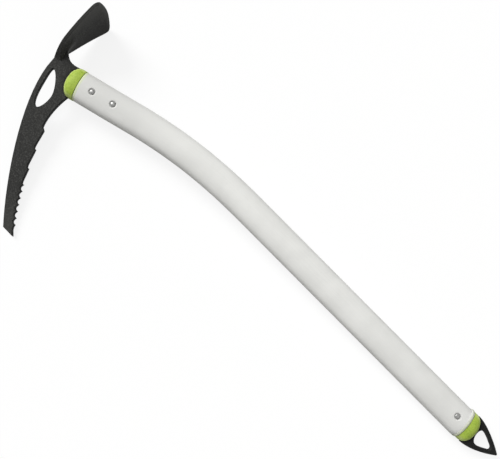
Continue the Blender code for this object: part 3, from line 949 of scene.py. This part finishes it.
@dataclass
class Shaft:
    """The bent oval tube, with a rolled lip at its foot and dished seats for the rivets."""

    layout: Layout
    section: Section
    rivet: Rivet
    seats: Sequence[float]
    seat_grid: Sequence[float] = (
        0.0, 0.0012, 0.00225, 0.0026, 0.0028, 0.0031, 0.0034, 0.0037, 0.0040, 0.0048, 0.0056, 0.0066,
    )
    seat_share: Sequence[float] = (1.0, 1.0, 1.0, 1.0, 0.96, 0.72, 0.44, 0.16, 0.0, 0.0, 0.0, 0.0)
    hole_step: int = 2
    round_step: int = 9
    lip_length: float = 0.0024
    lip_height: float = 0.0006
    lip_steps: int = 14
    lip_clear: float = 0.0032
    head_rim: Sequence[Pair] = ((0.0, -0.0003), (0.0001, -0.0001), (0.0003, 0.0), (0.0020, 0.0))
    face_rest: Sequence[float] = (0.0080, 0.0092)
    side_steps: int = 14
    straight_step: float = 0.012
    bend_step: float = 0.006

    def lip(self) -> list[Pair]:
        """How far the rolled lip stands out, by the distance from the foot."""
        angles = [math.pi * i / self.lip_steps for i in range(self.lip_steps + 1)]
        return [(self.lip_length / 2 * (1 - math.cos(a)), self.lip_height * math.sin(a)) for a in angles]

    def seat_steps(self) -> list[tuple[float, int]]:
        """The lines of a seat's grid: how far each is from the seat's middle, and its step."""
        steps = range(1 - len(self.seat_grid), len(self.seat_grid))
        return [(math.copysign(self.seat_grid[abs(i)], i), i) for i in steps]

    def rings(self) -> list[Ring]:
        """The rings along the tube.

        Returns:
            Each ring's distance from the foot, how far it stands out, and its step in a seat's grid.
        """
        total = self.layout.length
        reach = self.seat_grid[-1]
        fixed = [(run, out, NO_SEAT) for run, out in self.lip()]
        fixed += [(run, 0.0, NO_SEAT) for run in (self.lip_clear, self.layout.foot_square)]
        fixed += [(total - run, out, NO_SEAT) for run, out in self.head_rim]
        for seat in self.seats:
            fixed += [(seat + off, 0.0, step) for off, step in self.seat_steps()]
        bend = (self.layout.lower_straight, total - self.layout.upper_straight)
        fixed += [(run, 0.0, NO_SEAT) for run in bend]
        fixed.sort()
        filled = []
        for (run, out, step), (after, _, _) in zip(fixed, fixed[1:] + [(total, 0.0, NO_SEAT)]):
            filled.append((run, out, step))
            in_bend = bend[0] - TINY < run < bend[1] - TINY
            pieces = round((after - run) / (self.bend_step if in_bend else self.straight_step))
            if after - run > reach / 2:
                filled += [(run + (after - run) * i / pieces, 0.0, NO_SEAT) for i in range(1, pieces)]
        return filled

    def columns(self) -> list[Column]:
        """The columns round the tube.

        Returns:
            Each column's arc, its angle on the arc, the sign of its half of the oval, and its step in
            a seat's grid.
        """
        grid = [(-side, NO_SEAT) for side in reversed(self.face_rest)]
        grid += self.seat_steps()
        grid += [(side, NO_SEAT) for side in self.face_rest]
        radius = self.section.face_radius
        faces = [(Arc.FACE, math.asin(side / radius), step) for side, step in reversed(grid)]
        turn = math.pi / 2 - self.section.lean
        turns = [turn * (2 * i / self.side_steps - 1) for i in range(self.side_steps + 1)]
        half = [(Arc.SIDE, angle, NO_SEAT) for angle in turns] + faces
        return [(arc, angle, sign, step) for sign in (1.0, -1.0) for arc, angle, step in half]

    def point(self, ring: Ring, column: Column, inset: float) -> tuple[Point, Point, float]:
        """One point of the tube's outer or inner skin.

        Args:
            ring: A ring of rings().
            column: A column of columns().
            inset: 0 for the outer skin and the wall for the inner one.

        Returns:
            The point on the shaft, the same point on a tube that was never bent, and how deep in a
            seat it is, from 0 to 1.
        """
        run, out, down = ring
        arc, angle, sign, over = column
        outer = inset == 0.0
        on_arc = self.section.on_face if arc is Arc.FACE else self.section.on_side
        y, z = on_arc(angle, -out if outer else inset)
        sunk = 0.0
        step = max(abs(down), abs(over))
        if step < len(self.seat_grid):
            size = self.seat_grid[step]
            a = math.copysign(self.seat_grid[abs(down)], down) if down else 0.0
            b = math.copysign(self.seat_grid[abs(over)], over) if over else 0.0
            span = self.seat_grid[-1] - self.seat_grid[self.round_step]
            share = min(max((size - self.seat_grid[self.round_step]) / span, 0.0), 1.0)
            scale = size / math.hypot(a, b) if size else 1.0
            scale += (1.0 - scale) * share
            run += a * scale - a
            y = b * scale
            z = self.section.face_height(y, inset)
            if outer:
                sunk = self.seat_share[step]
                z -= sunk * (z - self.section.depth / 2 + self.rivet.seat_depth)
        straight = (run, sign * y, sign * z)
        side = sign * y + self.layout.bowed(run)
        place = self.layout.station(run + self.layout.drawn_back(run, sign * y, self.lip_length))
        return tuple(place @ Vector((0.0, side, sign * z))), straight, sunk

    def mesh(self) -> tuple[Mesh, list[Point], list[float]]:
        """Makes the tube's two skins, joined at its ends and round its rivet holes.

        Returns:
            The mesh on the shaft, each vertex's place on a tube that was never bent, and how deep in a
            seat it is.
        """
        rings, columns = self.rings(), self.columns()
        bm = bmesh.new()
        straight: list[Point] = []
        depths: list[float] = []
        skins: list[Skin] = []
        for inset in (0.0, self.section.wall):
            skin: Skin = {}
            for i, ring in enumerate(rings):
                for j, column in enumerate(columns):
                    if max(abs(ring[2]), abs(column[3])) < self.hole_step:
                        continue
                    spot, flat, sunk = self.point(ring, column, inset)
                    skin[i, j] = bm.verts.new(spot)
                    straight.append(flat)
                    depths.append(sunk)
            skins.append(skin)
        count = len(columns)
        for i in range(len(rings) - 1):
            for j in range(count):
                corners = [(i, j), (i, (j + 1) % count), (i + 1, (j + 1) % count), (i + 1, j)]
                steps = [max(abs(rings[a][2]), abs(columns[b][3])) for a, b in corners]
                if max(steps) <= self.hole_step:
                    self._hole_walls(bm, skins, corners, steps)
                    continue
                for skin in skins:
                    bm.faces.new([skin[corner] for corner in corners])
        for end in (0, len(rings) - 1):
            for j in range(count):
                k = (j + 1) % count
                bm.faces.new((skins[0][end, j], skins[0][end, k], skins[1][end, k], skins[1][end, j]))
        return bm, straight, depths

    def _hole_walls(self, bm: Mesh, skins: list[Skin], corners: list[Corner], steps: list[int]) -> None:
        """Adds a rivet hole's wall along the sides of a left-out face that lie on the hole's rim.

        Args:
            bm: The mesh.
            skins: The outer and inner vertices by ring and column.
            corners: The face's corners.
            steps: Each corner's step in the seat's grid.
        """
        for a in range(4):
            b = (a + 1) % 4
            if steps[a] == steps[b] == self.hole_step:
                first, second = corners[a], corners[b]
                bm.faces.new((skins[0][first], skins[0][second], skins[1][second], skins[1][first]))

    def build(self, aluminium: Material) -> Piece:
        """Makes and dresses the tube.

        Args:
            aluminium: The tube's material.

        Returns:
            The piece, with each point's unbent place as the attribute "run" and its depth in a rivet's
            seat as "seat".
        """
        bm, straight, depths = self.mesh()
        bm.verts.index_update()
        obj = add_piece("tube", bm, self.layout.shaft)
        run = obj.data.attributes.new("run", "FLOAT_VECTOR", "POINT")
        run.data.foreach_set("vector", [part for point in straight for part in point])
        seat = obj.data.attributes.new("seat", "FLOAT", "POINT")
        seat.data.foreach_set("value", depths)
        return stand_in(obj, "shaft_tube", aluminium)


@dataclass
class Collar:
    """A moulded collar: a rounded rim, a band, a dome split over the plate, and prongs in the tube."""

    name: str
    section: Section
    band: float
    dome: float
    shoulder: float
    inset: float
    slant: float
    prong: float
    holes: Sequence[float]
    hole: float = 0.0056
    hole_points: int = 32
    rim: float = 0.0002
    dome_end: float = math.radians(86.0)
    dome_steps: int = 20
    arc_points: int = 24
    rim_steps: int = 4

    def rings(self) -> list[list[Point]]:
        """The rings from the ends of the prongs to the top of the dome.

        Returns:
            The rings, in the frame of that end of the tube.
        """
        stem = self.section.ring(self.section.wall + FIT_GAP, self.arc_points)
        rings = [[(x, y, z) for y, z in stem] for x in (-self.prong, FIT_GAP)]
        for i in range(self.rim_steps + 1):
            angle = math.pi / 2 * i / self.rim_steps
            ring = self.section.ring(self.inset + self.rim * (1 - math.sin(angle)), self.arc_points)
            rings.append([(FIT_GAP + self.rim * (1 - math.cos(angle)), y, z) for y, z in ring])
        outer = self.section.ring(self.inset, self.arc_points)
        for i in range(self.dome_steps + 1):
            angle = self.dome_end * i / self.dome_steps
            size = math.cos(angle)
            rings.append([(self.band + self.dome * math.sin(angle), size * y, size * z) for y, z in outer])
        return rings[:1] + [[(x - self.slant * y, y, z) for x, y, z in ring] for ring in rings[1:]]

    def slot(self) -> list[Pair]:
        """The slot for the plate and its tang.

        Returns:
            Its outline, in the plane of the pick.
        """
        half = self.section.bore_half_width(PLATE / 2)
        wide, deep, tall = self.section.width, 2 * self.prong, self.band + 2 * self.dome
        foot, step = FIT_GAP / 2, self.shoulder
        side = [(foot, wide), (foot, half), (step, half), (step, wide), (tall, wide)]
        side += [(x, -y) for x, y in reversed(side)]
        return [(-deep, wide), *((x - self.slant * y, y) for x, y in side), (-deep, -wide)]

    def build(self, place: Matrix) -> Piece:
        """Makes the collar.

        Args:
            place: The frame of that end of the tube.

        Returns:
            The piece.
        """
        obj = add_piece(self.name, loft(self.rings()), place)
        cutters = [add_piece("slot", prism(self.slot(), PLATE / 2 + FIT_GAP), place)]
        ends = [(self.hole / 2, z) for z in (self.section.width, -self.section.width)]
        for reach in self.holes:
            there = place @ Matrix.Translation((-reach, 0.0, 0.0))
            cutters.append(add_piece("hole", turned(ends, self.hole_points), there))
        cut(obj, cutters)
        return obj


@dataclass
class HeadEnd:
    """The head, its collar and its two rivets."""

    layout: Layout
    section: Section
    rivet: Rivet
    reach: float = 0.0160
    pitch: float = 0.0240
    past: float = 0.0120
    band: float = 0.0048
    dome: float = 0.0106
    shoulder: float = 0.0048
    inset: float = -0.0004

    @property
    def reaches(self) -> Pair:
        """How far in from the end of the tube the rivets are."""
        return self.reach, self.reach + self.pitch

    def seats(self) -> list[float]:
        """The rivets' distances from the foot of the tube."""
        return [self.layout.length - reach for reach in self.reaches]

    def build(self, steel: Material, plastic: Material, bright: Material) -> list[Piece]:
        """Makes and dresses this end's pieces.

        Args:
            steel: The head's material.
            plastic: The collar's material.
            bright: The rivets' material.

        Returns:
            The pieces.
        """
        pieces = [SmoothShading().keep("head", steel)]
        place = self.layout.head
        collar = Collar(
            name="collar_head", section=self.section, band=self.band, dome=self.dome,
            shoulder=self.shoulder, inset=self.inset, slant=0.0,
            prong=self.reaches[1] + self.past, holes=self.reaches,
        ).build(place)
        pieces.append(stand_in(collar, "head_collar", plastic))
        for side, reach in zip(("upper", "lower"), self.reaches):
            there = place @ Matrix.Translation((-reach, 0.0, 0.0))
            pin = self.rivet.build(f"rivet_head_{side}", self.section, there)
            pieces.append(stand_in(pin, f"head_rivet_{side}", bright))
        return pieces


@dataclass
class FootEnd:
    """The spike, its collar and its rivet."""

    layout: Layout
    section: Section
    rivet: Rivet
    reach: float = 0.0138
    past: float = 0.0120
    band: float = 0.0048
    dome: float = 0.0102
    shoulder: float = 0.0076
    inset: float = 0.0002

    def seats(self) -> list[float]:
        """The rivet's distance from the foot of the tube."""
        return [self.reach]

    def build(self, steel: Material, plastic: Material, bright: Material) -> list[Piece]:
        """Makes and dresses this end's pieces.

        Args:
            steel: The spike's material.
            plastic: The collar's material.
            bright: The rivet's material.

        Returns:
            The pieces.
        """
        spike = SmoothShading().keep("spike", steel)
        place = self.layout.shaft
        collar = Collar(
            name="collar_spike", section=self.section, band=self.band, dome=self.dome,
            shoulder=self.shoulder, inset=self.inset, slant=self.layout.foot_slant,
            prong=self.reach + self.past, holes=[self.reach],
        ).build(place)
        stand_in(collar, "spike_collar", plastic)
        there = place @ Matrix.Translation((-self.reach, self.layout.bowed(self.reach), 0.0))
        pin = self.rivet.build("rivet_spike", self.section, there)
        return [spike, collar, stand_in(pin, "spike_rivet", bright)]


# The studio


@dataclass
class Studio:
    """A white floor, a soft strip of sky, one broad lamp and a camera square to the pick."""

    layout: Layout
    camera_spot: Point = (-0.2911, -0.0767, 0.5443)
    camera_right: Point = (0.7055, 0.7087, 0.0)
    lens: float = 38.88
    sensor: float = 36.0
    shift: Pair = (0.088, 0.085)
    clip: Pair = (0.01, 100.0)
    floor_size: float = 12.0
    floor_half: float = 0.005
    floor_drop: float = 0.0052
    sky_low: float = 0.04
    sky_high: float = 0.85
    sky_way: Point = (0.05, 0.0, 0.99)
    sky_span: Pair = (0.10, 0.80)
    backdrop_span: Pair = (0.48, 0.30)
    strip_lean: float = 0.10
    strip_span: Pair = (0.05, 0.36)
    key_way: Point = (-1.00, 0.13, 0.72)
    key_spread: float = math.radians(30.0)
    key_power: float = 3.0

    def build(self) -> None:
        """Makes the floor, the world, the lamp and the camera."""
        self.floor()
        self.world()
        self.lamp()
        self.camera()
        bpy.context.scene.view_settings.view_transform = "Standard"

    def floor(self) -> None:
        """Makes the floor under the axe."""
        half = self.floor_size / 2
        bm = prism([(-half, -half), (half, -half), (half, half), (-half, half)], self.floor_half)
        floor = add_piece("floor", bm, Matrix.Translation((0.0, 0.0, -self.floor_drop)))
        dress(floor, PaperFloor().material("white_paper"))

    def world(self) -> None:
        """Lights the room from a long soft strip along the shaft, and shows a white backdrop low down."""
        world = bpy.data.worlds.new("studio")
        bpy.context.scene.world = world
        world.use_nodes = True
        graph = Graph(world.node_tree)
        turn = self.layout.shaft.to_3x3()
        look = graph.node(Kind.COORDINATES, {}, {}, "Generated")
        sky_way = turn @ Vector(self.sky_way).normalized()
        overhead = graph.along(look, tuple(sky_way)).between(*self.sky_span)
        aside = graph.along(look, tuple(turn @ Vector((0.0, 1.0, 0.0)))) - self.strip_lean
        strip = overhead * (1.0 - (aside * aside).between(*self.strip_span))
        low, high = ((level, level, level) for level in (self.sky_low, self.sky_high))
        backdrop = seen_rays(graph) * graph.part(look, "Z").between(*self.backdrop_span)
        colour = graph.mix(backdrop, graph.mix(strip, low, high), (1.0, 1.0, 1.0))
        light = graph.node(Kind.BACKGROUND, {}, {"Color": colour, "Strength": 1.0})
        graph.node(Kind.WORLD_OUTPUT, {}, {"Surface": light})

    def lamp(self) -> None:
        """Adds the key lamp, far off and broad, so that it lights the whole length alike."""
        data = bpy.data.lights.new("key_lamp", "SUN")
        data.energy, data.angle = self.key_power, self.key_spread
        lamp = bpy.data.objects.new("key_lamp", data)
        bpy.context.scene.collection.objects.link(lamp)
        lamp.rotation_mode = "QUATERNION"
        way = self.layout.shaft.to_3x3() @ Vector(self.key_way)
        lamp.rotation_quaternion = way.to_track_quat("Z", "Y")

    def camera(self) -> None:
        """Sets up the camera at the photograph's angle."""
        data = bpy.data.cameras.new("camera")
        data.lens, data.sensor_width = self.lens, self.sensor
        data.shift_x, data.shift_y = self.shift
        data.clip_start, data.clip_end = self.clip
        right = Vector(self.camera_right).normalized()
        back = Vector((0.0, 0.0, 1.0))
        turn = Matrix((right, back.cross(right), back)).transposed().to_4x4()
        camera = bpy.data.objects.new("camera", data)
        bpy.context.scene.collection.objects.link(camera)
        camera.matrix_world = self.layout.shaft @ Matrix.Translation(self.camera_spot) @ turn
        bpy.context.scene.camera = camera


def main() -> None:
    """Builds the axe and its studio, and reports each piece."""
    logging.basicConfig(level=logging.INFO, format="%(name)s: %(message)s", stream=sys.stdout)
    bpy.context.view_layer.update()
    layout, section, rivet = Layout(), Section(), Rivet()
    steel = BlackSteel(layout.up, layout.under(layout.head)).material("black_head_steel")
    spike_coat = BlackSteel(
        layout.up, layout.under(layout.shaft), speckle=(0.048, 0.048, 0.046), edge_radius=0.0015,
    )
    spike_steel = spike_coat.material("black_spike_steel")
    plastic = GreenPlastic(layout.up, layout.level).material("green_moulded_plastic")
    bright = RivetSteel().material("bright_rivet_steel")
    aluminium = SatinAluminium(layout.length).material("satin_tube_aluminium")
    head, foot = HeadEnd(layout, section, rivet), FootEnd(layout, section, rivet)
    tube = Shaft(layout, section, rivet, foot.seats() + head.seats()).build(aluminium)
    pieces = [tube, *head.build(steel, plastic, bright), *foot.build(spike_steel, plastic, bright)]
    for piece in pieces:
        log.info("%s: %d faces", piece.name, len(piece.data.polygons))
    Studio(layout).build()


if __name__ == "__main__":
    main()
